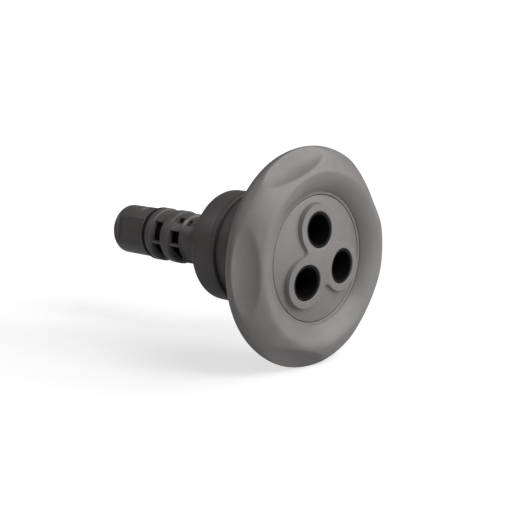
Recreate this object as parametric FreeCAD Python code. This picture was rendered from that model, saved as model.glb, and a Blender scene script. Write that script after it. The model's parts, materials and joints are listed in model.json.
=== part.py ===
import FreeCAD, Part
import math
import os

# Hot tub jet internal: a scalloped face ring, a spinning nozzle with three ports on a ball bearing,
# the drum that carries them, and the long air and water stem behind the drum.
# The jet's axis is X and the face looks along +X. The origin is on the axis, at the middle of the
# drum's land, which is the part that the jet body holds. All sizes are in millimetres and degrees.

# Fits
SEAT_GAP = 0.05          # radial gap of a seated piece in its seat
RUNNING_GAP = 0.4        # gap between the nozzle and what stands still round it
BALL_GAP = 0.05          # gap between a ball and its race groove

# Face ring: sections are given from the face plane, where the nozzle's rim lies
RING_OPENING_RADIUS = 23.8
RING_RADIUS = 41.3
RING_REAR_DEPTH = 6.9
RING_WALL = 2.2
LIP_WIDTH = 1.2
LIP_HEIGHT = 0.35
SLOPE_BULGE = 0.8
CREST_SETBACK = 7.4
CREST_HEIGHT = 4.4
CREST_BULGE = 0.15
FLANK_TOP_DROP = 1.3
FLANK_TOP_REACH = 2.8
FLANK_BULGE = 0.35
FLANK_FOOT_DEPTH = 1.7
FLANK_FOOT_INSET = 0.5
RIM_DEPTH = 4.3
REAR_INSET = 0.8
COLLAR_LENGTH = 11.0
COLLAR_WALL = 1.9
RIB_COUNT = 10
RIB_THICKNESS = 1.5
RIB_SETBACK = 3.0
SCALLOP_COUNT = 5
SCALLOP_PHASE = 37.0
SCALLOP_RADIUS = 7.2
SCALLOP_LENGTH = 44.0
SCALLOP_BITE = 2.4

# Nozzle
PORT_COUNT = 3
PORT_PHASE = 100.7
PORT_RADIUS = 6.7
PORT_CIRCLE_RADIUS = 11.5
PORT_SPLAY = 4.7
PORT_HEIGHT = 3.15
BOSS_RADIUS = 9.5
BOSS_CENTRE_RADIUS = 9.2
DISC_THICKNESS = 2.6
DISC_DOME = 2.7
DISC_EDGE_ROUND = 0.4
TUBE_WALL = 1.7
TUBE_TIP_WALL = 0.9
TUBE_SETBACK = 0.4
TUBE_LENGTH = 8.0
FLANGE_THICKNESS = 1.6
CHAMBER_LENGTH = 5.0
CHAMBER_WALL = 1.8
CHAMBER_MARGIN = 1.3
FUNNEL_LENGTH = 6.4
FUNNEL_WALL = 2.8
SPINDLE_BORE = 7.6
SPINDLE_WALL = 1.8
SPINDLE_SHOULDER_HEIGHT = 1.9
SPINDLE_SHOULDER_LENGTH = 1.8
SPINDLE_TAIL = 1.6

# Ball bearing
BALL_COUNT = 12
BALL_RADIUS = 1.75
INNER_RACE_WALL = 2.45
OUTER_RACE_WALL = 2.65
BEARING_WIDTH = 6.4
RACE_LAND_OFFSET = 1.0
CAGE_WIDTH = 4.4
CAGE_THICKNESS = 1.3
WASHER_THICKNESS = 0.5
CLIP_THICKNESS = 1.2
CLIP_GROOVE_DEPTH = 0.7
CLIP_GAP_ANGLE = 50.0
RETAINER_THICKNESS = 2.0
RETAINER_WIDTH = 2.3

# Drum
LAND_LENGTH = 10.0
LAND_EDGE_ROUND = 1.1
DRUM_WALL = 2.2
BACK_BORE_TAPER = 1.0
GROOVE_WALL = 2.0
GROOVE_DEPTH = 1.8
WEAR_RING_WIDTH = 2.4
WEAR_RING_PROUD = 0.4
WEAR_RING_GAP = 1.6
NECK_WALL = 2.7
NECK_LENGTH = 8.2
SHOULDER_LENGTH = 2.3
CUP_LENGTH = 18.8
CUP_WALL = 2.3
CUP_SETBACK = 2.9
BEARING_WEB = 1.4
SNAP_COUNT = 3
SNAP_LENGTH = 3.0
SNAP_WIDTH = 7.0
SNAP_HEIGHT = 0.9
SOCKET_LENGTH = 13.9
SOCKET_WALL = 1.5
SOCKET_FLARE = 3.2

# Stem
STEM_BORE = 6.8
SPIGOT_WALL = 1.6
STEM_NECK_STEP = 0.9
STEM_NECK_LENGTH = 5.5
STEM_CHAMBER_STEP = 1.7
STEM_CHAMBER_TAPER = 2.0
FRONT_CAGE_LENGTH = 6.6
FRONT_CAGE_WALL = 1.7
MIDDLE_RING_LENGTH = 4.5
MIDDLE_RING_HEIGHT = 0.7
REAR_CAGE_LENGTH = 6.1
REAR_CAGE_WALL = 1.8
REAR_RING_LENGTH = 3.5
REAR_RING_HEIGHT = 0.7
RING_EDGE_ROUND = 0.5
TIP_SEAT_STEP = 0.5
REAR_WINDOWS = [(193.0, 247.0), (138.0, 187.0)]
FRONT_WINDOWS = [(193.0, 250.0), (156.0, 187.0)]
WINDOW_MARGIN = 0.5
SLOT_ANGLE = 127.0
SLOT_WIDTH = 3.0
SLOT_SETBACK = 1.8
REAR_SLOT_LENGTH = 3.5
FRONT_SLOT_LENGTH = 2.4
SLOT_POST = 1.6
LOCK_RING_WIDTH = 3.75
LOCK_RING_THICKNESS = 1.8
LOCK_NOTCH_COUNT = 6
LOCK_NOTCH_DEPTH = 1.2

# Seals, throat and inlet tip
O_RING_SECTION = 2.1
TIP_SPIGOT_LENGTH = 1.7
TIP_FRONT_BAND = 1.2
TIP_RADIUS = 10.3
TIP_LENGTH = 18.7
TIP_BORE = 7.0
TIP_END_LENGTH = 2.0
TIP_FLAT_DEPTH = 1.7
TIP_FLAT_ANGLE = 173.0
TIP_NOTCH_ANGLE = 98.0
TIP_NOTCH_SPAN = 36.0
TIP_NOTCH_LENGTH = 4.2
TIP_NOTCH_OFFSET = 3.8
THROAT_FLANGE = 1.4
THROAT_RADIUS = 4.6
THROAT_WALL = 1.1
THROAT_LENGTH = 17.0
SPIGOT_SEAL_SECTION = 1.6
SPIGOT_SEAL_SETBACK = 1.6

AXIS = FreeCAD.Vector(1, 0, 0)
CENTRE = FreeCAD.Vector(0, 0, 0)

# Radii, from the spindle's bore out to the drum's land
SPINDLE_RADIUS = SPINDLE_BORE + SPINDLE_WALL
SPINDLE_SHOULDER_RADIUS = SPINDLE_RADIUS + SPINDLE_SHOULDER_HEIGHT
BALL_PITCH_RADIUS = SPINDLE_RADIUS + INNER_RACE_WALL + BALL_RADIUS
BEARING_OUTER_RADIUS = BALL_PITCH_RADIUS + BALL_RADIUS + OUTER_RACE_WALL
NECK_RADIUS = BEARING_OUTER_RADIUS + NECK_WALL
GROOVE_FLOOR_RADIUS = BEARING_OUTER_RADIUS + GROOVE_WALL
LAND_RADIUS = GROOVE_FLOOR_RADIUS + GROOVE_DEPTH

# Bore of the nozzle's tubes, and how fast their axes spread
TUBE_BORE = PORT_RADIUS - SEAT_GAP - TUBE_TIP_WALL
PORT_SLOPE = math.tan(math.radians(PORT_SPLAY))

# Radii of the stem, from its bore outwards
SPIGOT_RADIUS = STEM_BORE + SPIGOT_WALL
STEM_NECK_RADIUS = SPIGOT_RADIUS + STEM_NECK_STEP
STEM_CHAMBER_RADIUS = STEM_BORE + STEM_CHAMBER_STEP
FRONT_CAGE_RADIUS = STEM_CHAMBER_RADIUS + FRONT_CAGE_WALL
MIDDLE_RING_RADIUS = FRONT_CAGE_RADIUS + MIDDLE_RING_HEIGHT
REAR_CAGE_RADIUS = STEM_CHAMBER_RADIUS + REAR_CAGE_WALL
REAR_RING_RADIUS = REAR_CAGE_RADIUS + REAR_RING_HEIGHT
LOCK_RING_RADIUS = SPIGOT_RADIUS + SEAT_GAP + LOCK_RING_WIDTH
TIP_SEAT_RADIUS = STEM_CHAMBER_RADIUS + TIP_SEAT_STEP

# Stations along the axis
DRUM_BACK_X = -LAND_LENGTH / 2
LAND_FRONT_X = LAND_LENGTH / 2
NECK_BACK_X = LAND_FRONT_X + WEAR_RING_WIDTH
NECK_FRONT_X = NECK_BACK_X + NECK_LENGTH
CUP_BACK_X = NECK_FRONT_X + SHOULDER_LENGTH
CUP_FRONT_X = CUP_BACK_X + CUP_LENGTH
FACE_X = CUP_FRONT_X + CUP_SETBACK
CUP_RADIUS = RING_OPENING_RADIUS + RUNNING_GAP
COLLAR_BORE = CUP_RADIUS + SEAT_GAP
COLLAR_RADIUS = COLLAR_BORE + COLLAR_WALL

# Section points of the face ring
LIP_RADIUS = RING_OPENING_RADIUS + LIP_WIDTH
CREST_X = FACE_X + CREST_HEIGHT
CREST_RADIUS = LIP_RADIUS + CREST_SETBACK
FLANK_TOP = (CREST_X - FLANK_TOP_DROP, CREST_RADIUS + FLANK_TOP_REACH)
FLANK_FOOT = (FACE_X - FLANK_FOOT_DEPTH, RING_RADIUS - FLANK_FOOT_INSET)

MOUTH_X = FACE_X + PORT_HEIGHT
DISC_BACK_X = FACE_X - DISC_THICKNESS
TUBE_BACK_X = DISC_BACK_X - TUBE_LENGTH
CHAMBER_BACK_X = TUBE_BACK_X - CHAMBER_LENGTH
FUNNEL_BACK_X = CHAMBER_BACK_X - FUNNEL_LENGTH
SHOULDER_BACK_X = FUNNEL_BACK_X - SPINDLE_SHOULDER_LENGTH
BEARING_FRONT_X = SHOULDER_BACK_X - WASHER_THICKNESS
BEARING_BACK_X = BEARING_FRONT_X - BEARING_WIDTH
BEARING_MIDDLE_X = (BEARING_FRONT_X + BEARING_BACK_X) / 2
CLIP_FRONT_X = BEARING_BACK_X - WASHER_THICKNESS
CLIP_BACK_X = CLIP_FRONT_X - CLIP_THICKNESS
SPINDLE_END_X = CLIP_BACK_X - SPINDLE_TAIL

SOCKET_BACK_X = DRUM_BACK_X - SOCKET_LENGTH
SEAL_X = DRUM_BACK_X - SPIGOT_SEAL_SETBACK
BACK_WALL_FRONT_X = DRUM_BACK_X + DRUM_WALL
SPIGOT_END_X = SPINDLE_END_X - RUNNING_GAP
FRONT_CAGE_FRONT_X = SOCKET_BACK_X - STEM_NECK_LENGTH
MIDDLE_RING_FRONT_X = FRONT_CAGE_FRONT_X - FRONT_CAGE_LENGTH
REAR_CAGE_FRONT_X = MIDDLE_RING_FRONT_X - MIDDLE_RING_LENGTH
REAR_RING_FRONT_X = REAR_CAGE_FRONT_X - REAR_CAGE_LENGTH
STEM_END_X = REAR_RING_FRONT_X - REAR_RING_LENGTH
TIP_FRONT_X = STEM_END_X - O_RING_SECTION
TIP_END_X = TIP_FRONT_X - TIP_LENGTH
TIP_SPIGOT_X = STEM_END_X + TIP_SPIGOT_LENGTH
THROAT_BACK_X = TIP_SPIGOT_X
THROAT_SEAT_X = THROAT_BACK_X + THROAT_FLANGE


def point(place):
    """A half-section point (x, radius) as a vector."""
    return FreeCAD.Vector(place[0], place[1], 0)


def turned(*steps):
    """Solid turned about the axis. A step is a point (x, radius), or a pair of points for an arc
    through the first to the second. The section closes by itself."""
    edges = []
    last = steps[0]
    for step in steps[1:] + (steps[0],):
        if isinstance(step[0], tuple):
            edges.append(Part.Arc(point(last), point(step[0]), point(step[1])).toShape())
            last = step[1]
        else:
            edges.append(Part.LineSegment(point(last), point(step)).toShape())
            last = step
    solid = Part.Face(Part.Wire(edges)).revolve(CENTRE, AXIS, 360)
    if solid.Volume < 0:
        solid.reverse()
    return solid


def turned_ring(back, front, inner, outer):
    """Plain ring between two stations and two radii."""
    return turned((back, inner), (front, inner), (front, outer), (back, outer))


def rounded_ring(back, front, inner, outer, rounding):
    """Ring whose two outer edges are rounded."""
    dip = rounding * (1 - math.sqrt(0.5))
    return turned((back, inner), (front, inner), (front, outer - rounding),
                  ((front - dip, outer - dip), (front - rounding, outer)),
                  (back + rounding, outer),
                  ((back + dip, outer - dip), (back, outer - rounding)))


def rod(back, front, radius):
    """Solid round bar on the axis."""
    return Part.makeCylinder(radius, front - back, FreeCAD.Vector(back, 0, 0), AXIS)


def spun(shape, angle):
    """Copy of a shape turned about the axis; angle 0 is +Y and 90 is +Z."""
    copy = shape.copy()
    copy.rotate(CENTRE, AXIS, angle)
    return copy


def pattern(shape, count, phase):
    """Copies of a shape spread evenly about the axis."""
    return [spun(shape, phase + index * 360.0 / count) for index in range(count)]


def block(back, front, inner, outer, width):
    """Bar along +Y, from one radius to another, centred on the XY plane."""
    corner = FreeCAD.Vector(back, inner, -width / 2)
    return Part.makeBox(front - back, outer - inner, width, corner)


def sector(back, front, outer, start, end):
    """Wedge of a disc from one angle to another, less than half a turn."""
    corners = [(back, 0), (front, 0), (front, outer), (back, outer), (back, 0)]
    face = Part.Face(Part.makePolygon([point(corner) for corner in corners]))
    return spun(face.revolve(CENTRE, AXIS, end - start), start)


def arc_middle(start, end, bulge):
    """Point beside the middle of a chord, moved right of its direction by the bulge."""
    run_x = end[0] - start[0]
    run_r = end[1] - start[1]
    length = math.hypot(run_x, run_r)
    middle_x = (start[0] + end[0]) / 2 + run_r / length * bulge
    middle_r = (start[1] + end[1]) / 2 - run_x / length * bulge
    return (middle_x, middle_r)


def face_ring_shell(wall):
    """Outer form of the face ring, or with a wall its hollow, before the scallops."""
    crest = (CREST_X - wall, CREST_RADIUS)
    flank_top = (FLANK_TOP[0] - wall, FLANK_TOP[1] - wall / 2)
    flank_foot = (FLANK_FOOT[0] - wall / 2, FLANK_FOOT[1] - wall)
    widest = (FACE_X - RIM_DEPTH, RING_RADIUS - wall)
    rear = (FACE_X - RING_REAR_DEPTH, RING_RADIUS - REAR_INSET - wall)
    if wall == 0:
        steps = [(rear[0], RING_OPENING_RADIUS), (FACE_X, RING_OPENING_RADIUS),
                 (FACE_X, LIP_RADIUS), (FACE_X + LIP_HEIGHT, LIP_RADIUS)]
    else:
        root = (FACE_X + LIP_HEIGHT - wall, COLLAR_RADIUS)
        steps = [(rear[0] - wall, COLLAR_RADIUS), root]
    steps.append((arc_middle(steps[-1], crest, SLOPE_BULGE), crest))
    steps.append((arc_middle(crest, flank_top, CREST_BULGE), flank_top))
    steps.append((arc_middle(flank_top, flank_foot, FLANK_BULGE), flank_foot))
    steps.append((widest, rear))
    if wall > 0:
        steps.append((rear[0] - wall, rear[1]))
    return turned(*steps)


def scallop_cutter(extra):
    """Round bar laid across the ring's flank, one thumb scoop; extra thickens it."""
    run = point(FLANK_FOOT) - point(FLANK_TOP)
    outward = FreeCAD.Vector(run.y, -run.x, 0).normalize()
    middle = (point(FLANK_TOP) + point(FLANK_FOOT)) / 2 - FreeCAD.Vector(0, 0, SCALLOP_LENGTH / 2)
    base = middle + outward * (SCALLOP_RADIUS - SCALLOP_BITE)
    across = FreeCAD.Vector(0, 0, 1)
    return Part.makeCylinder(SCALLOP_RADIUS + extra, SCALLOP_LENGTH, base, across)


def snap_box(clearance):
    """Space of one snap lug on the drum's cup, or with clearance its window in the ring."""
    middle = (FACE_X - COLLAR_LENGTH + CUP_FRONT_X - SNAP_LENGTH) / 2
    return block(middle - SNAP_LENGTH / 2 - clearance, middle + SNAP_LENGTH / 2 + clearance,
                 CUP_RADIUS - CUP_WALL / 2, CUP_RADIUS + SNAP_HEIGHT + clearance,
                 SNAP_WIDTH + 2 * clearance)


def make_face_ring():
    """Scalloped face ring: a hollow moulding with a collar that snaps over the drum's cup."""
    skin = face_ring_shell(0).cut(pattern(scallop_cutter(0), SCALLOP_COUNT, SCALLOP_PHASE))
    hollow = face_ring_shell(RING_WALL).cut(
        pattern(scallop_cutter(RING_WALL), SCALLOP_COUNT, SCALLOP_PHASE))
    shell = skin.cut(hollow)
    collar_back = FACE_X - COLLAR_LENGTH
    collar = turned_ring(collar_back, FACE_X - RING_WALL + LIP_HEIGHT, RING_OPENING_RADIUS,
                         COLLAR_RADIUS)
    rib = block(FACE_X - RING_REAR_DEPTH + RIB_SETBACK, FACE_X + CREST_HEIGHT,
                COLLAR_RADIUS - COLLAR_WALL / 2, RING_RADIUS, RIB_THICKNESS)
    ribs = [item.common(hollow) for item in pattern(rib, RIB_COUNT, SCALLOP_PHASE)]
    ring = shell.fuse([collar] + ribs)
    ring = ring.cut(rod(collar_back - 1, CUP_FRONT_X + SEAT_GAP, COLLAR_BORE))
    ring = ring.cut(pattern(snap_box(SEAT_GAP * 4), SNAP_COUNT, SCALLOP_PHASE))
    return ring.removeSplitter()


def port_axis_bar(back, front, radius):
    """Round bar along one port's splayed axis, before it is turned to its place."""
    base = FreeCAD.Vector(back, PORT_CIRCLE_RADIUS + (back - MOUTH_X) * PORT_SLOPE, 0)
    tip = FreeCAD.Vector(front, PORT_CIRCLE_RADIUS + (front - MOUTH_X) * PORT_SLOPE, 0)
    return Part.makeCylinder(radius, (tip - base).Length, base, tip - base)


def make_nozzle_cap():
    """Domed front disc of the nozzle with three raised ports, whose holes take the body's tubes."""
    disc_radius = RING_OPENING_RADIUS - RUNNING_GAP
    edge = DISC_EDGE_ROUND
    dip = edge * (1 - math.sqrt(0.5))
    disc = turned((DISC_BACK_X, 0), (FACE_X + DISC_DOME, 0),
                  ((FACE_X + DISC_DOME * 3 / 4, disc_radius / 2), (FACE_X, disc_radius - edge)),
                  ((FACE_X - dip, disc_radius - dip), (FACE_X - edge, disc_radius)),
                  (DISC_BACK_X, disc_radius))
    peak = MOUTH_X + PORT_CIRCLE_RADIUS * PORT_SLOPE
    crown_radius = PORT_CIRCLE_RADIUS + 2 * BOSS_RADIUS
    crown = turned((DISC_BACK_X, 0), (peak, 0), (peak - crown_radius * PORT_SLOPE, crown_radius),
                   (DISC_BACK_X, crown_radius))
    boss = port_axis_bar(DISC_BACK_X, peak + DISC_THICKNESS, BOSS_RADIUS)
    bosses = rod(DISC_BACK_X, peak, BOSS_CENTRE_RADIUS)
    bosses = bosses.fuse(pattern(boss, PORT_COUNT, PORT_PHASE)).common(crown)
    hole = port_axis_bar(DISC_BACK_X - DISC_THICKNESS, peak + DISC_THICKNESS, PORT_RADIUS)
    return disc.fuse(bosses).cut(pattern(hole, PORT_COUNT, PORT_PHASE)).removeSplitter()


def make_nozzle_rotor():
    """Nozzle body: three splayed tubes through a flange, the chamber behind and the hollow spindle."""
    flange = rod(DISC_BACK_X - FLANGE_THICKNESS, DISC_BACK_X, CUP_RADIUS - CUP_WALL - RUNNING_GAP)
    tube = port_axis_bar(TUBE_BACK_X, DISC_BACK_X - FLANGE_THICKNESS / 2, TUBE_BORE + TUBE_WALL)
    tip = port_axis_bar(TUBE_BACK_X, MOUTH_X - TUBE_SETBACK, PORT_RADIUS - SEAT_GAP)
    chamber_bore = (PORT_CIRCLE_RADIUS - (MOUTH_X - TUBE_BACK_X) * PORT_SLOPE + TUBE_BORE
                    + CHAMBER_MARGIN)
    chamber_radius = chamber_bore + CHAMBER_WALL
    shell = turned((SPINDLE_END_X, 0), (TUBE_BACK_X + CHAMBER_WALL, 0),
                   (TUBE_BACK_X + CHAMBER_WALL, chamber_radius), (CHAMBER_BACK_X, chamber_radius),
                   (FUNNEL_BACK_X, SPINDLE_BORE + FUNNEL_WALL),
                   (FUNNEL_BACK_X, SPINDLE_SHOULDER_RADIUS),
                   (SHOULDER_BACK_X, SPINDLE_SHOULDER_RADIUS), (SHOULDER_BACK_X, SPINDLE_RADIUS),
                   (CLIP_FRONT_X, SPINDLE_RADIUS), (CLIP_FRONT_X, SPINDLE_RADIUS - CLIP_GROOVE_DEPTH),
                   (CLIP_BACK_X, SPINDLE_RADIUS - CLIP_GROOVE_DEPTH), (CLIP_BACK_X, SPINDLE_RADIUS),
                   (SPINDLE_END_X, SPINDLE_RADIUS))
    chamber = turned((SPINDLE_END_X, 0), (TUBE_BACK_X, 0), (TUBE_BACK_X, chamber_bore),
                     (CHAMBER_BACK_X, chamber_bore), (FUNNEL_BACK_X, SPINDLE_BORE),
                     (SPINDLE_END_X, SPINDLE_BORE))
    bore = port_axis_bar(TUBE_BACK_X - CHAMBER_WALL, MOUTH_X + CHAMBER_WALL, TUBE_BORE)
    rotor = flange.fuse([shell] + pattern(tube, PORT_COUNT, PORT_PHASE)
                        + pattern(tip, PORT_COUNT, PORT_PHASE))
    rotor = rotor.cut([chamber] + pattern(bore, PORT_COUNT, PORT_PHASE))
    return rotor.removeSplitter()


def race_groove():
    """Ring of round section in which the balls run, a little larger than they are."""
    return Part.makeTorus(BALL_PITCH_RADIUS, BALL_RADIUS + BALL_GAP,
                          FreeCAD.Vector(BEARING_MIDDLE_X, 0, 0), AXIS)


def make_bearing_outer_race():
    """Outer race, held in the drum's neck."""
    inner = BALL_PITCH_RADIUS + RACE_LAND_OFFSET
    outer = BEARING_OUTER_RADIUS - SEAT_GAP
    return turned_ring(BEARING_BACK_X, BEARING_FRONT_X, inner, outer).cut(race_groove())


def make_bearing_inner_race():
    """Inner race, on the nozzle's spindle."""
    inner = SPINDLE_RADIUS + SEAT_GAP
    outer = BALL_PITCH_RADIUS - RACE_LAND_OFFSET
    return turned_ring(BEARING_BACK_X, BEARING_FRONT_X, inner, outer).cut(race_groove())


def make_bearing_balls():
    """Loose balls, evenly spread by the cage."""
    ball = Part.makeSphere(BALL_RADIUS, FreeCAD.Vector(BEARING_MIDDLE_X, BALL_PITCH_RADIUS, 0))
    return Part.makeCompound(pattern(ball, BALL_COUNT, 0))


def make_bearing_cage():
    """Ring with one round pocket for each ball."""
    ring = turned_ring(BEARING_MIDDLE_X - CAGE_WIDTH / 2, BEARING_MIDDLE_X + CAGE_WIDTH / 2,
                       BALL_PITCH_RADIUS - CAGE_THICKNESS / 2, BALL_PITCH_RADIUS + CAGE_THICKNESS / 2)
    pocket = Part.makeCylinder(BALL_RADIUS + BALL_GAP, 2 * CAGE_THICKNESS,
                               FreeCAD.Vector(BEARING_MIDDLE_X, BALL_PITCH_RADIUS - CAGE_THICKNESS, 0),
                               FreeCAD.Vector(0, 1, 0))
    return ring.cut(pattern(pocket, BALL_COUNT, 0))


def make_bearing_retainer():
    """Pressed ring that keeps the outer race in the drum, with three tool notches."""
    back = BEARING_FRONT_X
    ring = turned_ring(back, back + RETAINER_THICKNESS, BEARING_OUTER_RADIUS - RETAINER_WIDTH,
                       BEARING_OUTER_RADIUS - SEAT_GAP)
    notch = block(back + RETAINER_THICKNESS / 2, back + 2 * RETAINER_THICKNESS,
                  BEARING_OUTER_RADIUS - 2 * RETAINER_WIDTH, BEARING_OUTER_RADIUS - RETAINER_WIDTH / 2,
                  2 * RETAINER_WIDTH)
    return ring.cut(pattern(notch, SNAP_COUNT, SCALLOP_PHASE))


def make_washer(back):
    """Thin washer on the spindle, beside the inner race."""
    return turned_ring(back, back + WASHER_THICKNESS, SPINDLE_RADIUS + SEAT_GAP,
                       SPINDLE_SHOULDER_RADIUS)


def make_spindle_clip():
    """Open spring clip in the spindle's groove."""
    ring = turned_ring(CLIP_BACK_X + SEAT_GAP, CLIP_FRONT_X,
                       SPINDLE_RADIUS - CLIP_GROOVE_DEPTH + SEAT_GAP, SPINDLE_SHOULDER_RADIUS)
    gap = sector(CLIP_BACK_X - 1, CLIP_FRONT_X + 1, SPINDLE_SHOULDER_RADIUS + 1,
                 90 - CLIP_GAP_ANGLE / 2, 90 + CLIP_GAP_ANGLE / 2)
    return ring.cut(gap)


def make_drum():
    """Drum: front cup for the nozzle, neck with the bearing seat, land, back wall and stem socket."""
    flare = SOCKET_FLARE
    socket_radius = SPIGOT_RADIUS + SEAT_GAP + SOCKET_WALL
    sag = flare * (1 - math.sqrt(0.5))
    edge = LAND_EDGE_ROUND
    dip = edge * (1 - math.sqrt(0.5))
    bulk = turned((SOCKET_BACK_X, 0), (CUP_FRONT_X, 0), (CUP_FRONT_X, CUP_RADIUS),
                  (CUP_BACK_X, CUP_RADIUS), (NECK_FRONT_X, NECK_RADIUS), (NECK_BACK_X, NECK_RADIUS),
                  (NECK_BACK_X, GROOVE_FLOOR_RADIUS), (LAND_FRONT_X, GROOVE_FLOOR_RADIUS),
                  (LAND_FRONT_X, LAND_RADIUS), (DRUM_BACK_X + edge, LAND_RADIUS),
                  ((DRUM_BACK_X + dip, LAND_RADIUS - dip), (DRUM_BACK_X, LAND_RADIUS - edge)),
                  (DRUM_BACK_X, socket_radius + flare),
                  ((DRUM_BACK_X - sag, socket_radius + sag), (DRUM_BACK_X - flare, socket_radius)),
                  (SOCKET_BACK_X + RING_EDGE_ROUND, socket_radius),
                  (SOCKET_BACK_X, socket_radius - RING_EDGE_ROUND))
    seat_front = BEARING_FRONT_X + RETAINER_THICKNESS + SEAT_GAP
    web_back = BEARING_BACK_X - BEARING_WEB
    tail_bore = BEARING_OUTER_RADIUS - RETAINER_WIDTH / 2
    back_bore = LAND_RADIUS - DRUM_WALL
    cup_bore = CUP_RADIUS - CUP_WALL
    hollow = turned((BACK_WALL_FRONT_X, 0), (CUP_FRONT_X + 1, 0), (CUP_FRONT_X + 1, cup_bore),
                    (CUP_BACK_X, cup_bore), (seat_front + SEAT_GAP, BEARING_OUTER_RADIUS),
                    (BEARING_BACK_X, BEARING_OUTER_RADIUS),
                    (BEARING_BACK_X, BEARING_OUTER_RADIUS - RETAINER_WIDTH),
                    (web_back, BEARING_OUTER_RADIUS - RETAINER_WIDTH), (web_back, tail_bore),
                    (DRUM_BACK_X + LAND_LENGTH / 2, back_bore - BACK_BORE_TAPER),
                    (BACK_WALL_FRONT_X, back_bore))
    lug = snap_box(0)
    drum = bulk.fuse(pattern(lug, SNAP_COUNT, SCALLOP_PHASE)).cut(hollow)
    groove = turned_ring(SEAL_X - SPIGOT_SEAL_SECTION / 2, SEAL_X + SPIGOT_SEAL_SECTION / 2, 0,
                         SPIGOT_RADIUS + SPIGOT_SEAL_SECTION)
    socket = rod(SOCKET_BACK_X - 1, BACK_WALL_FRONT_X + 1, SPIGOT_RADIUS + SEAT_GAP)
    return drum.cut([socket, groove])


def make_spigot_o_ring():
    """Seal in the groove of the drum's socket, round the stem's spigot."""
    section = SPIGOT_SEAL_SECTION / 2 - SEAT_GAP
    return Part.makeTorus(SPIGOT_RADIUS + SEAT_GAP + section, section,
                          FreeCAD.Vector(SEAL_X, 0, 0), AXIS)


def make_wear_ring():
    """Split ring in the drum's groove, cut across at a slant."""
    ring = rounded_ring(LAND_FRONT_X + SEAT_GAP, NECK_BACK_X - SEAT_GAP,
                        GROOVE_FLOOR_RADIUS + SEAT_GAP, LAND_RADIUS + WEAR_RING_PROUD,
                        RING_EDGE_ROUND)
    cut = block(-2 * WEAR_RING_WIDTH, 2 * WEAR_RING_WIDTH, GROOVE_FLOOR_RADIUS - GROOVE_DEPTH,
                LAND_RADIUS + GROOVE_DEPTH, WEAR_RING_GAP)
    cut.rotate(CENTRE, FreeCAD.Vector(0, 1, 0), 45)
    cut.translate(FreeCAD.Vector((LAND_FRONT_X + NECK_BACK_X) / 2, 0, 0))
    return ring.cut(spun(cut, 90))


def stem_windows(front, length, outer, spans):
    """Cutters for the openings of one cage, each span given by two angles, twice round."""
    back = front - length + WINDOW_MARGIN
    cutters = []
    for start, end in spans:
        for half_turn in (0, 180):
            wedge = sector(back, front - WINDOW_MARGIN, outer, start + half_turn, end + half_turn)
            cutters.append(wedge)
    return cutters


def make_stem():
    """Stem: spigot, neck, two open cages between rings, and the seat of the inlet tip."""
    edge = RING_EDGE_ROUND
    spigot = rod(SOCKET_BACK_X, SPIGOT_END_X, SPIGOT_RADIUS)
    neck = rod(FRONT_CAGE_FRONT_X, SOCKET_BACK_X, STEM_NECK_RADIUS)
    front_cage = turned((MIDDLE_RING_FRONT_X, 0), (FRONT_CAGE_FRONT_X, 0),
                        (FRONT_CAGE_FRONT_X, STEM_NECK_RADIUS),
                        (FRONT_CAGE_FRONT_X - edge, FRONT_CAGE_RADIUS),
                        (MIDDLE_RING_FRONT_X, FRONT_CAGE_RADIUS))
    rear_cage = rod(REAR_RING_FRONT_X, REAR_CAGE_FRONT_X, REAR_CAGE_RADIUS)
    middle_ring = rounded_ring(REAR_CAGE_FRONT_X, MIDDLE_RING_FRONT_X, STEM_BORE,
                               MIDDLE_RING_RADIUS, edge)
    rear_ring = rounded_ring(STEM_END_X, REAR_RING_FRONT_X, STEM_BORE, REAR_RING_RADIUS, edge)
    bulk = spigot.fuse([neck, front_cage, rear_cage, middle_ring, rear_ring])
    hollow = turned((STEM_END_X, 0), (SPIGOT_END_X, 0), (SPIGOT_END_X, STEM_BORE),
                    (FRONT_CAGE_FRONT_X, STEM_BORE),
                    (FRONT_CAGE_FRONT_X - STEM_CHAMBER_TAPER, STEM_CHAMBER_RADIUS),
                    (THROAT_SEAT_X, STEM_CHAMBER_RADIUS), (THROAT_SEAT_X, TIP_SEAT_RADIUS),
                    (STEM_END_X, TIP_SEAT_RADIUS))
    cutters = stem_windows(REAR_CAGE_FRONT_X, REAR_CAGE_LENGTH, REAR_RING_RADIUS, REAR_WINDOWS)
    cutters += stem_windows(FRONT_CAGE_FRONT_X, FRONT_CAGE_LENGTH, MIDDLE_RING_RADIUS,
                            FRONT_WINDOWS)
    rear_slot_x = MIDDLE_RING_FRONT_X + SLOT_SETBACK
    front_slot_x = rear_slot_x + REAR_SLOT_LENGTH + SLOT_POST
    for back, length in ((rear_slot_x, REAR_SLOT_LENGTH), (front_slot_x, FRONT_SLOT_LENGTH)):
        slot = block(back, back + length, STEM_BORE / 2, MIDDLE_RING_RADIUS, SLOT_WIDTH)
        cutters += pattern(slot, 2, SLOT_ANGLE)
    return bulk.cut([hollow] + cutters)


def make_stem_lock_ring():
    """Ring on the stem's spigot inside the drum, which holds the stem in its socket."""
    back = BACK_WALL_FRONT_X
    ring = turned_ring(back, back + LOCK_RING_THICKNESS, SPIGOT_RADIUS + SEAT_GAP, LOCK_RING_RADIUS)
    notch = block(back, back + LOCK_RING_THICKNESS, LOCK_RING_RADIUS - LOCK_NOTCH_DEPTH,
                  LOCK_RING_RADIUS + LOCK_NOTCH_DEPTH, 2 * LOCK_NOTCH_DEPTH)
    return ring.cut(pattern(notch, LOCK_NOTCH_COUNT, 0))


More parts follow.
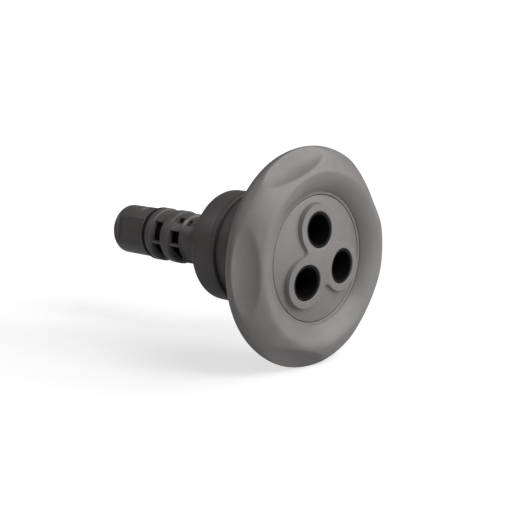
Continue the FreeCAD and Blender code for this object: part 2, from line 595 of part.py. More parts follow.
def make_stem_o_ring():
    """Seal between the stem's last ring and the inlet tip, round the tip's spigot."""
    section = (O_RING_SECTION - SEAT_GAP) / 2
    middle = (STEM_END_X + TIP_FRONT_X) / 2
    return Part.makeTorus(TIP_SEAT_RADIUS + section, section, FreeCAD.Vector(middle, 0, 0), AXIS)


def make_inlet_tip():
    """Inlet tip: tube with two flats, a full end flange, two notches and a spigot for the stem."""
    body = rounded_ring(TIP_END_X, TIP_FRONT_X, TIP_BORE, TIP_RADIUS, RING_EDGE_ROUND)
    body = body.fuse(turned_ring(TIP_FRONT_X, TIP_SPIGOT_X, TIP_BORE, TIP_SEAT_RADIUS - SEAT_GAP))
    flat_back = TIP_END_X + TIP_END_LENGTH
    flat = block(flat_back, TIP_FRONT_X - TIP_FRONT_BAND, TIP_RADIUS - TIP_FLAT_DEPTH,
                 TIP_RADIUS + TIP_FLAT_DEPTH, 2 * TIP_RADIUS)
    notch_front = TIP_FRONT_X - TIP_NOTCH_OFFSET
    notch = sector(notch_front - TIP_NOTCH_LENGTH, notch_front, 2 * TIP_RADIUS,
                   TIP_NOTCH_ANGLE - TIP_NOTCH_SPAN / 2, TIP_NOTCH_ANGLE + TIP_NOTCH_SPAN / 2)
    cutters = pattern(flat, 2, TIP_FLAT_ANGLE) + pattern(notch, 2, 0)
    return body.cut(cutters)


def make_throat():
    """Converging throat inside the stem, held by its flange between stem and tip."""
    flange = TIP_SEAT_RADIUS - SEAT_GAP
    front = THROAT_BACK_X + THROAT_LENGTH
    return turned((THROAT_BACK_X, TIP_BORE), (front, THROAT_RADIUS),
                  (front, THROAT_RADIUS + THROAT_WALL), (THROAT_SEAT_X, TIP_BORE + THROAT_WALL),
                  (THROAT_SEAT_X, flange), (THROAT_BACK_X, flange))


PIECES = {
    "face_ring": make_face_ring,
    "nozzle_cap": make_nozzle_cap,
    "nozzle_rotor": make_nozzle_rotor,
    "bearing_outer_race": make_bearing_outer_race,
    "bearing_inner_race": make_bearing_inner_race,
    "bearing_balls": make_bearing_balls,
    "bearing_cage": make_bearing_cage,
    "bearing_retainer": make_bearing_retainer,
    "front_thrust_washer": lambda: make_washer(BEARING_FRONT_X),
    "rear_thrust_washer": lambda: make_washer(CLIP_FRONT_X),
    "spindle_clip": make_spindle_clip,
    "drum": make_drum,
    "wear_ring": make_wear_ring,
    "stem": make_stem,
    "stem_lock_ring": make_stem_lock_ring,
    "spigot_o_ring": make_spigot_o_ring,
    "stem_o_ring": make_stem_o_ring,
    "inlet_tip": make_inlet_tip,
    "throat": make_throat,
}

os.makedirs("parts", exist_ok=True)
for name, make in PIECES.items():
    shape = make()
    shape.exportStep("parts/" + name + ".step")
    print(name, len(shape.Solids), round(shape.Volume), shape.isValid())
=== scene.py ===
import bmesh
import bpy
import json
import math
from mathutils import Matrix, Vector

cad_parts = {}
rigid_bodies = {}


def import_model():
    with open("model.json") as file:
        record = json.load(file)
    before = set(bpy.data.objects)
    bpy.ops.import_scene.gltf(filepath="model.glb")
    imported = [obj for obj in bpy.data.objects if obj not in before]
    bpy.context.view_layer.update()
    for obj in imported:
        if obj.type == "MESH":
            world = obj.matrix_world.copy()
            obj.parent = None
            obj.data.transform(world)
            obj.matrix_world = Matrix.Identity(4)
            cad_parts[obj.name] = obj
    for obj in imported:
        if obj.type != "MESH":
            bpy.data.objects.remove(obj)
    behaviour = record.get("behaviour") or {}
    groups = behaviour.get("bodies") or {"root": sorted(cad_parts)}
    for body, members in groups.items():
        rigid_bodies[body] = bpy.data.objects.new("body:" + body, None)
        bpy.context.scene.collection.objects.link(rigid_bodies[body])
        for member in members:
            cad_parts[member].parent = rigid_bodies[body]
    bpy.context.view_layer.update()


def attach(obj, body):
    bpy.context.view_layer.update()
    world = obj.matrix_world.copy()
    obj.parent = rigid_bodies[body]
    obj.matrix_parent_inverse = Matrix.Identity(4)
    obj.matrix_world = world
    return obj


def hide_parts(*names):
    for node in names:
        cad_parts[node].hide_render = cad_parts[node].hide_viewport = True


# Hot tub jet internal. The jet's axis is X, the face looks along +X, and Z is up.
# Sizes are in millimetres and become metres where a mesh is made.
MM = 0.001

# Face ring
RING_OPENING_RADIUS = 23.8
RING_RADIUS = 41.3
RING_REAR_DEPTH = 6.9
RING_WALL = 2.2
LIP_WIDTH = 1.2
LIP_HEIGHT = 0.35
SLOPE_BULGE = 0.8
CREST_SETBACK = 7.4
CREST_HEIGHT = 4.4
CREST_BULGE = 0.15
FLANK_TOP_DROP = 1.3
FLANK_TOP_REACH = 2.8
FLANK_BULGE = 0.35
FLANK_FOOT_DEPTH = 1.7
FLANK_FOOT_INSET = 0.5
RIM_DEPTH = 4.3
REAR_INSET = 0.8
COLLAR_LENGTH = 11.0
COLLAR_WALL = 1.9
RIB_COUNT = 10
RIB_THICKNESS = 1.5
RIB_SETBACK = 3.0
SCALLOP_COUNT = 5
SCALLOP_PHASE = 37.0
SCALLOP_RADIUS = 11.0
SCALLOP_BITE = 1.9
SCALLOP_SHIFT = 0.8         # how far the scoops lie towards the rim
SCALLOP_EDGE = 0.5          # width over which a scoop's edge is rounded
RIB_INLET = 0.3             # how far a rib runs into the skin
RING_SEGMENTS = 480
SOFT_STEP = 0.35            # spacing of the softened section's points
SOFT_PASSES = 5

# Nozzle cap
RUNNING_GAP = 0.4
SEEN_GAP = 0.2              # round gap between the ring and the cap as the photo shows it
PORT_COUNT = 3
PORT_PHASE = 100.7
PORT_RADIUS = 6.7
PORT_CIRCLE_RADIUS = 11.5
PORT_HEIGHT = 3.3
PORT_SLOPE = math.tan(math.radians(4.7))
BOSS_RADIUS = 9.5
BOSS_CENTRE_RADIUS = 9.2
BOSS_BLEND = 2.2            # width over which neighbouring bosses flow together
BOSS_TOP_ROUND = 0.1
BOSS_FOOT_ROUND = 0.4
WALL_EASE = 0.6             # how much a boss's wall is curved between its top and foot
MOUTH_ROUND = 0.35
CAP_PEAK_X = 43.9           # the cap's middle stays under the ring's crest
DISC_THICKNESS = 2.6
DISC_DOME = 2.7
DISC_EDGE_ROUND = 0.4

# Drum and wear ring
LAND_LENGTH = 10.0
LAND_RADIUS = 21.8
GROOVE_FLOOR_RADIUS = 20.0
WEAR_RING_WIDTH = 2.4
WEAR_RING_PROUD = 0.4
WEAR_RING_GAP = 1.6
NECK_RADIUS = 20.7
NECK_LENGTH = 8.2
SHOULDER_LENGTH = 2.3
CUP_LENGTH = 18.8
CUP_WALL = 2.3
CUP_SETBACK = 2.9
BEARING_OUTER_RADIUS = 18.0
BEARING_SEAT_FRONT_X = 17.4
BEARING_SEAT_BACK_X = 8.9
SEAT_SHOULDER_RADIUS = 15.7
SEAT_SHOULDER_BACK_X = 7.5
BACK_WALL_FRONT_X = -2.8
BACK_BORE = [(SEAT_SHOULDER_BACK_X, 16.85), (0.0, 18.6, 1.0), (BACK_WALL_FRONT_X, 19.6, 0.5)]
SEAL_GROOVE_SETBACK = 2.4
SEAL_GROOVE_LENGTH = 1.6
SEAL_GROOVE_RADIUS = 10.0
SEAT_GAP = 0.05
SNAP_COUNT = 3
SNAP_LENGTH = 3.0
SNAP_WIDTH = 7.0
SNAP_HEIGHT = 0.9
SNAP_CLEARANCE = 0.2
SOCKET_LENGTH = 13.9
SOCKET_RADIUS = 9.95
SOCKET_BORE = 8.45
SOCKET_FLARE = 3.2
LAND_BACK_ROUND = 1.1

# Stem and inlet tip
STEM_BORE = 6.8
SPIGOT_RADIUS = 8.4
STEM_NECK_RADIUS = 9.3
STEM_NECK_LENGTH = 5.5
STEM_CHAMBER_RADIUS = 8.5
STEM_CHAMBER_TAPER = 2.0
SPIGOT_END_X = 5.2
STEM_EDGE_ROUND = 0.5
CUT_INSET = 2.0             # how far the cutters reach inwards past a bore
CUT_OVERRUN = 1.0           # and outwards past the widest radius
FRONT_CAGE_LENGTH = 6.6
FRONT_CAGE_RADIUS = 10.2
MIDDLE_RING_LENGTH = 4.5
MIDDLE_RING_RADIUS = 10.9
REAR_CAGE_LENGTH = 6.1
REAR_CAGE_RADIUS = 10.3
REAR_RING_LENGTH = 3.5
REAR_RING_RADIUS = 11.0
TIP_SEAT_RADIUS = 9.0
WINDOW_MARGIN = 0.5
REAR_WINDOWS = [(193.0, 247.0), (138.0, 187.0)]
FRONT_WINDOWS = [(193.0, 250.0), (156.0, 187.0)]
SLOT_ANGLE = 127.0
SLOT_WIDTH = 3.0
SLOT_SETBACK = 1.8
REAR_SLOT_LENGTH = 3.5
FRONT_SLOT_LENGTH = 2.4
SLOT_POST = 1.6
O_RING_SECTION = 2.1
TIP_SPIGOT_LENGTH = 1.7
TIP_FRONT_BAND = 1.2
TIP_RADIUS = 10.3
TIP_LENGTH = 18.7
TIP_BORE = 7.0
TIP_END_LENGTH = 2.0
TIP_FLAT_DEPTH = 1.7
TIP_FLAT_ANGLE = 173.0
TIP_NOTCH_ANGLE = 98.0
TIP_NOTCH_SPAN = 36.0
TIP_NOTCH_LENGTH = 4.2
TIP_NOTCH_OFFSET = 3.8
THROAT_FLANGE = 1.4

# Stations along the axis
DRUM_BACK_X = -LAND_LENGTH / 2
LAND_FRONT_X = LAND_LENGTH / 2
NECK_BACK_X = LAND_FRONT_X + WEAR_RING_WIDTH
NECK_FRONT_X = NECK_BACK_X + NECK_LENGTH
CUP_BACK_X = NECK_FRONT_X + SHOULDER_LENGTH
CUP_FRONT_X = CUP_BACK_X + CUP_LENGTH
CUP_RADIUS = RING_OPENING_RADIUS + RUNNING_GAP
FACE_X = CUP_FRONT_X + CUP_SETBACK
MOUTH_X = FACE_X + PORT_HEIGHT
DISC_BACK_X = FACE_X - DISC_THICKNESS
DISC_RADIUS = RING_OPENING_RADIUS - SEEN_GAP
COLLAR_BORE = CUP_RADIUS + SEAT_GAP
COLLAR_RADIUS = COLLAR_BORE + COLLAR_WALL
SOCKET_BACK_X = DRUM_BACK_X - SOCKET_LENGTH
FRONT_CAGE_FRONT_X = SOCKET_BACK_X - STEM_NECK_LENGTH
MIDDLE_RING_FRONT_X = FRONT_CAGE_FRONT_X - FRONT_CAGE_LENGTH
REAR_CAGE_FRONT_X = MIDDLE_RING_FRONT_X - MIDDLE_RING_LENGTH
REAR_RING_FRONT_X = REAR_CAGE_FRONT_X - REAR_CAGE_LENGTH
STEM_END_X = REAR_RING_FRONT_X - REAR_RING_LENGTH
TIP_FRONT_X = STEM_END_X - O_RING_SECTION
TIP_END_X = TIP_FRONT_X - TIP_LENGTH
TIP_SPIGOT_X = STEM_END_X + TIP_SPIGOT_LENGTH
THROAT_SEAT_X = TIP_SPIGOT_X + THROAT_FLANGE

# Studio: place and size of each light in metres, power in watts
LIGHT_TARGET = (0.01, 0, 0)
LIGHTS = [
    ("upper front softbox", (0.53, 0.0, 0.53), 0.35, 2.3),
    ("front right softbox", (0.53, 0.46, 0.26), 0.35, 1.2),
    ("upper right softbox", (0.23, 0.46, 0.57), 0.35, 1.3),
    ("low front softbox", (0.68, 0.3, 0.04), 0.35, 0.6),
    ("front spot", (0.68, 0.13, 0.28), 0.08, 0.5),
    ("left softbox", (0.07, -0.71, 0.23), 0.35, 0.35),
    ("rear left softbox", (-0.38, -0.38, 0.53), 0.35, 0.4),
]
AMBIENT = 0.12
CAMERA_LENS = 77.647
CAMERA_PLACE = (298.9, -302.9, 72.7)
CAMERA_TARGET = (8.03, 0, -2.53)

# Section points of the face ring, as (x, radius)
LIP_RADIUS = RING_OPENING_RADIUS + LIP_WIDTH
CREST = (FACE_X + CREST_HEIGHT, LIP_RADIUS + CREST_SETBACK)
FLANK_TOP = (CREST[0] - FLANK_TOP_DROP, CREST[1] + FLANK_TOP_REACH)
FLANK_FOOT = (FACE_X - FLANK_FOOT_DEPTH, RING_RADIUS - FLANK_FOOT_INSET)
RING_REAR_X = FACE_X - RING_REAR_DEPTH


def place_on(x, radius, degrees):
    """Point at a station, a radius and an angle; 0 is +Y and 90 is +Z. In metres."""
    turn = math.radians(degrees)
    return Vector((x, radius * math.cos(turn), radius * math.sin(turn))) * MM


def arc_through(start, end, bulge, steps):
    """Points of an arc from start to end, moved right of its direction by the bulge."""
    run = Vector(end) - Vector(start)
    side = Vector((run.y, -run.x)).normalized()
    points = []
    for step in range(steps + 1):
        share = step / steps
        points.append(Vector(start) + run * share + side * bulge * 4 * share * (1 - share))
    return points


def softened(points, spacing, passes):
    """The same open line with evenly spread points and its corners eased; its ends stay."""
    lengths = [(b - a).length for a, b in zip(points, points[1:])]
    count = max(2, round(sum(lengths) / spacing))
    step = sum(lengths) / count
    even = [points[0].copy()]
    walked = 0.0
    for start, end, length in zip(points, points[1:], lengths):
        while len(even) < count and len(even) * step <= walked + length:
            even.append(start.lerp(end, (len(even) * step - walked) / length))
        walked += length
    even.append(points[-1].copy())
    for _ in range(passes):
        even = ([even[0]]
                + [(a + b * 2 + c) / 4 for a, b, c in zip(even, even[1:], even[2:])]
                + [even[-1]])
    return even


def rounded(corners, steps=5):
    """Closed outline from (x, radius, rounding) corners."""
    outline = []
    count = len(corners)
    for index, corner in enumerate(corners):
        here = Vector(corner[:2])
        before = (Vector(corners[index - 1][:2]) - here).normalized()
        after = (Vector(corners[(index + 1) % count][:2]) - here).normalized()
        if len(corner) < 3:
            outline.append(here)
            continue
        half = before.angle(after) / 2
        reach = corner[2] / math.tan(half)
        centre = here + (before + after).normalized() * corner[2] / math.sin(half)
        first = here + before * reach - centre
        last = here + after * reach - centre
        for step in range(steps + 1):
            spoke = first.slerp(last, step / steps)
            outline.append(centre + spoke * corner[2])
    return outline


def evenly(count, phase):
    """Angles spread evenly round the axis."""
    return [phase + index * 360 / count for index in range(count)]


def add_spun(mesh, outline, segments, start=0.0, closed=True):
    """Turn an outline of (x, radius) points round the axis."""
    points = [mesh.verts.new(place_on(point[0], point[1], start)) for point in outline]
    spin_line(mesh, points, segments, closed)


def spin_line(mesh, points, segments, closed):
    """Turn a line of vertices round the axis."""
    lines = [mesh.edges.new(pair) for pair in zip(points, points[1:])]
    if closed:
        lines.append(mesh.edges.new((points[-1], points[0])))
    bmesh.ops.spin(mesh, geom=points + lines, cent=(0, 0, 0), axis=(1, 0, 0),
                   angle=math.tau, steps=segments, use_merge=True)


def spun(outline, segments=240):
    """Closed round body from an outline."""
    mesh = bmesh.new()
    add_spun(mesh, outline, segments)
    bmesh.ops.recalc_face_normals(mesh, faces=mesh.faces)
    return mesh


def add_wedge(mesh, back, front, inner, outer, start, end):
    """Part of a thick tube between two angles, in steps of about three degrees."""
    steps = max(2, round((end - start) / 3))
    corners = [(back, inner), (front, inner), (front, outer), (back, outer)]
    face = mesh.faces.new([mesh.verts.new(place_on(x, r, start)) for x, r in corners])
    bmesh.ops.spin(mesh, geom=[face] + face.edges[:] + face.verts[:], cent=(0, 0, 0),
                   axis=(1, 0, 0), angle=math.radians(end - start), steps=steps)


def add_block(mesh, back, front, inner, outer, width, degrees):
    """Bar that reaches from one radius to another at an angle."""
    size = Matrix.Diagonal((front - back, outer - inner, width, 1))
    middle = Matrix.Translation(((back + front) / 2, (inner + outer) / 2, 0))
    turn = Matrix.Rotation(math.radians(degrees), 4, "X")
    return bmesh.ops.create_cube(mesh, size=1.0,
                                 matrix=Matrix.Scale(MM, 4) @ turn @ middle @ size)["verts"]


def loose_object(name, mesh):
    """Object of a bmesh, which is used up."""
    data = bpy.data.meshes.new(name)
    mesh.to_mesh(data)
    mesh.free()
    made = bpy.data.objects.new(name, data)
    bpy.context.scene.collection.objects.link(made)
    return made


def carved(body, cutters, edge_width):
    """The body with the cutters taken away and the cut edges broken."""
    for mesh in (body, cutters):
        bmesh.ops.recalc_face_normals(mesh, faces=mesh.faces)
    stock = loose_object("stock", body)
    tool = loose_object("cutters", cutters)
    cut = stock.modifiers.new("cut", "BOOLEAN")
    cut.operation = "DIFFERENCE"
    cut.solver = "EXACT"
    cut.use_self = True
    cut.object = tool
    broken = stock.modifiers.new("broken edges", "BEVEL")
    broken.width = edge_width * MM
    broken.segments = 2
    broken.limit_method = "ANGLE"
    broken.angle_limit = math.radians(40)
    graph = bpy.context.evaluated_depsgraph_get()
    data = bpy.data.meshes.new_from_object(stock.evaluated_get(graph))
    result = bmesh.new()
    result.from_mesh(data)
    for made in (stock, tool):
        old = made.data
        bpy.data.objects.remove(made)
        bpy.data.meshes.remove(old)
    bpy.data.meshes.remove(data)
    return result


def finish_piece(name, mesh, node, material, body="carrier"):
    """Smooth shaded piece that stands for a CAD node and rides on its body."""
    made = loose_object(name, mesh)
    made.data.shade_smooth()
    made.data.set_sharp_from_angle(angle=math.radians(32))
    made.data.materials.append(material)
    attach(made, body)
    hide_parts(node)
    return made


def smooth_min(first, second, width):
    """The smaller of two values, eased where they are nearly equal."""
    near = max(width - abs(first - second), 0) / width
    return min(first, second) - near * near * width / 4


# Face ring

def ring_section(wall):
    """Softened line of the ring's skin, or with a wall of its hollow, from the lip to the rear."""
    if wall:
        start = (FACE_X + LIP_HEIGHT - wall, COLLAR_RADIUS)
    else:
        start = (FACE_X + LIP_HEIGHT, LIP_RADIUS)
    crest = (CREST[0] - wall, CREST[1])
    top = (FLANK_TOP[0] - wall, FLANK_TOP[1] - wall / 2)
    foot = (FLANK_FOOT[0] - wall / 2, FLANK_FOOT[1] - wall)
    widest = (FACE_X - RIM_DEPTH, RING_RADIUS - wall)
    rear = (RING_REAR_X, RING_RADIUS - REAR_INSET - wall)
    line = arc_through(start, crest, SLOPE_BULGE, 16)
    line += arc_through(crest, top, CREST_BULGE, 6)[1:]
    line += arc_through(top, foot, FLANK_BULGE, 12)[1:]
    line += arc_through(foot, widest, 0.18, 6)[1:]
    line += arc_through(widest, rear, 0.12, 5)[1:]
    return softened(line, SOFT_STEP, SOFT_PASSES)


def scoop(point, wall):
    """Where a point of the skin or the hollow ends up once the thumb scoops are pressed in."""
    radius = math.hypot(point.y, point.z)
    angle = math.degrees(math.atan2(point.z, point.y))
    pitch = 360 / SCALLOP_COUNT
    nearest = round((angle - SCALLOP_PHASE) / pitch) * pitch + SCALLOP_PHASE
    aside = math.radians(angle - nearest)
    run = (Vector(FLANK_FOOT) - Vector(FLANK_TOP)).normalized()
    outward = Vector((run.y, -run.x))
    middle = (Vector(FLANK_TOP) + Vector(FLANK_FOOT)) / 2
    bar = middle + run * SCALLOP_SHIFT + outward * (SCALLOP_RADIUS - SCALLOP_BITE)
    offset = Vector((point.x, radius * math.cos(aside))) - bar
    along = offset.dot(run)
    height = offset.dot(outward)
    reach = SCALLOP_RADIUS + wall
    if abs(along) >= reach:
        return point
    floor = -math.sqrt(reach * reach - along * along)
    drop = smooth_min(height, floor, SCALLOP_EDGE) - height
    turn = math.radians(nearest)
    push = outward * drop
    return point + Vector((push.x, push.y * math.cos(turn), push.y * math.sin(turn)))


def ring_outline():
    """Closed section of the face ring as (point, pressed wall) pairs; None marks what the scoops
    leave alone."""
    skin = ring_section(0)
    hollow = ring_section(RING_WALL)
    collar_back = FACE_X - COLLAR_LENGTH
    seat = CUP_FRONT_X + SEAT_GAP
    bore = rounded([(collar_back, COLLAR_RADIUS, 0.3), (collar_back, COLLAR_BORE, 0.3),
                    (seat, COLLAR_BORE, 0.1), (seat, RING_OPENING_RADIUS, 0.1),
                    (FACE_X, RING_OPENING_RADIUS, 0.25), (FACE_X, LIP_RADIUS, 0.06),
                    (skin[0].x, LIP_RADIUS, 0.08), (skin[1].x, skin[1].y)], 4)
    pairs = [(point, None) for point in bore[:-1]]
    pairs += [(point, 0) for point in skin[1:]]
    pairs += [(point, RING_WALL) for point in reversed(hollow)]
    return pairs


def build_face_ring(material):
    pairs = ring_outline()
    mesh = bmesh.new()
    wall = mesh.verts.layers.float.new("wall")
    points = []
    for point, pressed in pairs:
        vert = mesh.verts.new(place_on(point.x, point.y, 0))
        vert[wall] = -1 if pressed is None else pressed
        points.append(vert)
    spin_line(mesh, points, RING_SEGMENTS, True)
    for vert in mesh.verts:
        if vert[wall] >= 0:
            vert.co = scoop(vert.co / MM, vert[wall]) * MM
    cutters = bmesh.new()
    middle = (FACE_X - COLLAR_LENGTH + CUP_FRONT_X - SNAP_LENGTH) / 2
    for angle in evenly(SNAP_COUNT, SCALLOP_PHASE):
        add_block(cutters, middle - SNAP_LENGTH / 2 - SNAP_CLEARANCE,
                  middle + SNAP_LENGTH / 2 + SNAP_CLEARANCE, CUP_RADIUS - CUP_WALL / 2,
                  CUP_RADIUS + SNAP_HEIGHT + SNAP_CLEARANCE, SNAP_WIDTH + 2 * SNAP_CLEARANCE, angle)
    mesh = carved(mesh, cutters, 0.12)
    hollow = [point for point, pressed in pairs if pressed]
    for angle in evenly(RIB_COUNT, SCALLOP_PHASE):
        add_rib(mesh, hollow, angle)
    return finish_piece("face_ring_moulding", mesh, "face_ring", material)


def add_rib(mesh, hollow, degrees):
    """Upright rib between the collar and the skin, let into both a little."""
    back = RING_REAR_X + RIB_SETBACK
    corners = [Vector((back, COLLAR_RADIUS - COLLAR_WALL / 2))]
    for point in reversed(hollow):
        if point.x > back:
            sunk = scoop(place_on(point.x, point.y, degrees) / MM, RING_WALL)
            corners.append(Vector((sunk.x + RIB_INLET, math.hypot(sunk.y, sunk.z) + RIB_INLET / 3)))
    corners.append(Vector((back, corners[-1].y)))
    turn = math.radians(degrees)
    side = Vector((0, -math.sin(turn), math.cos(turn))) * RIB_THICKNESS / 2 * MM
    face = mesh.faces.new([mesh.verts.new(place_on(spot.x, spot.y, degrees) - side)
                           for spot in corners])
    grown = bmesh.ops.extrude_face_region(mesh, geom=[face])
    verts = [item for item in grown["geom"] if isinstance(item, bmesh.types.BMVert)]
    bmesh.ops.translate(mesh, verts=verts, vec=side * 2)


# Nozzle cap

def boss_depth(y, z):
    """How far a point of the disc lies outside the joined bosses; negative within them."""
    depth = math.hypot(y, z) - BOSS_CENTRE_RADIUS
    for index in range(PORT_COUNT):
        turn = math.radians(PORT_PHASE + index * 360 / PORT_COUNT)
        away = math.hypot(y - PORT_CIRCLE_RADIUS * math.cos(turn),
                          z - PORT_CIRCLE_RADIUS * math.sin(turn))
        depth = smooth_min(depth, away - BOSS_RADIUS, BOSS_BLEND)
    return depth


def cap_height(y, z, from_port):
    """Height of the cap's front over the disc's plane."""
    radius = math.hypot(y, z)
    dome = FACE_X + DISC_DOME * (1 - (radius / (DISC_RADIUS - DISC_EDGE_ROUND)) ** 2)
    crown = smooth_min(MOUTH_X + (PORT_CIRCLE_RADIUS - radius) * PORT_SLOPE, CAP_PEAK_X, 0.3)
    if from_port < PORT_RADIUS + MOUTH_ROUND:
        inset = PORT_RADIUS + MOUTH_ROUND - from_port
        crown -= MOUTH_ROUND - math.sqrt(max(MOUTH_ROUND ** 2 - inset ** 2, 0))
    depth = boss_depth(y, z)
    inside = BOSS_TOP_ROUND
    if depth < -inside:
        return crown
    if depth > BOSS_FOOT_ROUND:
        return dome
    share = (depth + inside) / (inside + BOSS_FOOT_ROUND)
    ease = share * share * (3 - 2 * share)
    return crown + (dome - crown) * ((1 - WALL_EASE) * share + WALL_EASE * ease)


def sector_border(share):
    """Point of a sector's edge round one port, port towards +Y: its rim and two straight sides."""
    corner = 60.0
    rim = DISC_RADIUS - DISC_EDGE_ROUND
    if abs(share) <= 0.5:
        turn = math.radians(share * 2 * corner)
        return Vector((rim * math.cos(turn), rim * math.sin(turn)))
    end = Vector((rim * math.cos(math.radians(corner)) - PORT_CIRCLE_RADIUS,
                  rim * math.sin(math.radians(corner))))
    first = math.atan2(end.y, end.x)
    turn = first + (math.pi - first) * (abs(share) - 0.5) * 2
    reach = PORT_CIRCLE_RADIUS * math.sin(turn) / math.sin(turn - math.radians(corner))
    side = math.copysign(1, share)
    return Vector((reach * math.cos(math.radians(corner)),
                   side * reach * math.sin(math.radians(corner))))


def add_cap_sheet(mesh, index, columns, rings, centre, height):
    """Sheet round one port, from the hole's edge out to the sector's border. Rings over 1 are
    radii round the port; the others are shares of the way from the last radius to the border."""
    turn = Matrix.Rotation(math.radians(PORT_PHASE + index * 360 / PORT_COUNT), 2)
    hub = Vector((centre, 0))
    rows = len(rings) - 1
    made = bmesh.ops.create_grid(mesh, x_segments=columns, y_segments=rows, size=1.0)
    for vert in made["verts"]:
        ring = rings[round((vert.co.y + 1) / 2 * rows)]
        border = sector_border(vert.co.x)
        spoke = border - hub
        if ring > 1:
            distance = ring
        else:
            distance = max(rings) + (spoke.length - max(rings)) * ring
        flat = hub + spoke.normalized() * distance
        spot = turn @ flat
        vert.co = Vector((height(spot.x, spot.y, distance), spot.x, spot.y)) * MM


def build_nozzle_cap(material):
    mesh = bmesh.new()
    mouth = [PORT_RADIUS, 6.72, 6.78, 6.88, 7.0, 7.15, 7.5, 8.1, 8.7, 9.0, 9.2]
    wall = [9.35 + 0.05 * step for step in range(13)]
    shares = [0.02, 0.05, 0.09, 0.14, 0.2, 0.28, 0.38, 0.5, 0.62, 0.75, 0.88, 1.0]
    rings = mouth + wall + shares
    back_centre = PORT_CIRCLE_RADIUS - (MOUTH_X - DISC_BACK_X) * PORT_SLOPE
    for index in range(PORT_COUNT):
        add_cap_sheet(mesh, index, 240, rings, PORT_CIRCLE_RADIUS, cap_height)
        add_cap_sheet(mesh, index, 240, [PORT_RADIUS, 8.5, 1.0], back_centre,
                      lambda y, z, distance: DISC_BACK_X)
    edge = [Vector((FACE_X, DISC_RADIUS - DISC_EDGE_ROUND))]
    for step in range(1, 6):
        turn = math.radians(90 * step / 5)
        edge.append(Vector((FACE_X - DISC_EDGE_ROUND * (1 - math.cos(turn)),
                            DISC_RADIUS - DISC_EDGE_ROUND * (1 - math.sin(turn)))))
    edge += [Vector((DISC_BACK_X + 0.15, DISC_RADIUS)),
             Vector((DISC_BACK_X, DISC_RADIUS - 0.15)),
             Vector((DISC_BACK_X, DISC_RADIUS - DISC_EDGE_ROUND))]
    add_spun(mesh, edge, 360, PORT_PHASE + 60, False)
    bmesh.ops.remove_doubles(mesh, verts=mesh.verts, dist=0.002 * MM)
    open_edges = [item for item in mesh.edges if item.is_boundary]
    for index in range(PORT_COUNT):
        hub = place_on(0, PORT_CIRCLE_RADIUS, PORT_PHASE + index * 360 / PORT_COUNT)
        loop = [item for item in open_edges
                if (item.verts[0].co.yz - hub.yz).length < (PORT_RADIUS + 1) * MM]
        bmesh.ops.bridge_loops(mesh, edges=loop)
    bmesh.ops.recalc_face_normals(mesh, faces=mesh.faces)
    return finish_piece("nozzle_cap_moulding", mesh, "nozzle_cap", material,
                        "rotor")


# Drum and wear ring

def build_drum(material):
    seal_back = DRUM_BACK_X - SEAL_GROOVE_SETBACK
    seal_front = seal_back + SEAL_GROOVE_LENGTH
    outline = rounded([
        (SOCKET_BACK_X, SOCKET_BORE), (SOCKET_BACK_X, SOCKET_RADIUS, 0.5),
        (DRUM_BACK_X, SOCKET_RADIUS, SOCKET_FLARE), (DRUM_BACK_X, LAND_RADIUS, LAND_BACK_ROUND),
        (LAND_FRONT_X, LAND_RADIUS, 0.25), (LAND_FRONT_X, GROOVE_FLOOR_RADIUS),
        (NECK_BACK_X, GROOVE_FLOOR_RADIUS), (NECK_BACK_X, NECK_RADIUS, 0.2),
        (NECK_FRONT_X, NECK_RADIUS, 0.8), (CUP_BACK_X, CUP_RADIUS, 0.8),
        (CUP_FRONT_X, CUP_RADIUS, 0.3), (CUP_FRONT_X, CUP_RADIUS - CUP_WALL, 0.3),
        (CUP_BACK_X, CUP_RADIUS - CUP_WALL, 0.6),
        (BEARING_SEAT_FRONT_X, BEARING_OUTER_RADIUS, 0.3),
        (BEARING_SEAT_BACK_X, BEARING_OUTER_RADIUS),
        (BEARING_SEAT_BACK_X, SEAT_SHOULDER_RADIUS),
        (SEAT_SHOULDER_BACK_X, SEAT_SHOULDER_RADIUS), *BACK_BORE,
        (BACK_WALL_FRONT_X, SOCKET_BORE, 0.2),
        (seal_front, SOCKET_BORE), (seal_front, SEAL_GROOVE_RADIUS),
        (seal_back, SEAL_GROOVE_RADIUS), (seal_back, SOCKET_BORE)], 6)
    mesh = spun(outline, 256)
    middle = (FACE_X - COLLAR_LENGTH + CUP_FRONT_X - SNAP_LENGTH) / 2
    for angle in evenly(SNAP_COUNT, SCALLOP_PHASE):
        lug = add_block(mesh, middle - SNAP_LENGTH / 2, middle + SNAP_LENGTH / 2,
                        CUP_RADIUS - CUP_WALL / 2, CUP_RADIUS + SNAP_HEIGHT, SNAP_WIDTH, angle)
        edges = {item for vert in lug for item in vert.link_edges}
        bmesh.ops.bevel(mesh, geom=list(edges), offset=0.2 * MM, segments=3, profile=0.5,
                        affect="EDGES", material=-1)
    return finish_piece("drum_moulding", mesh, "drum", material)


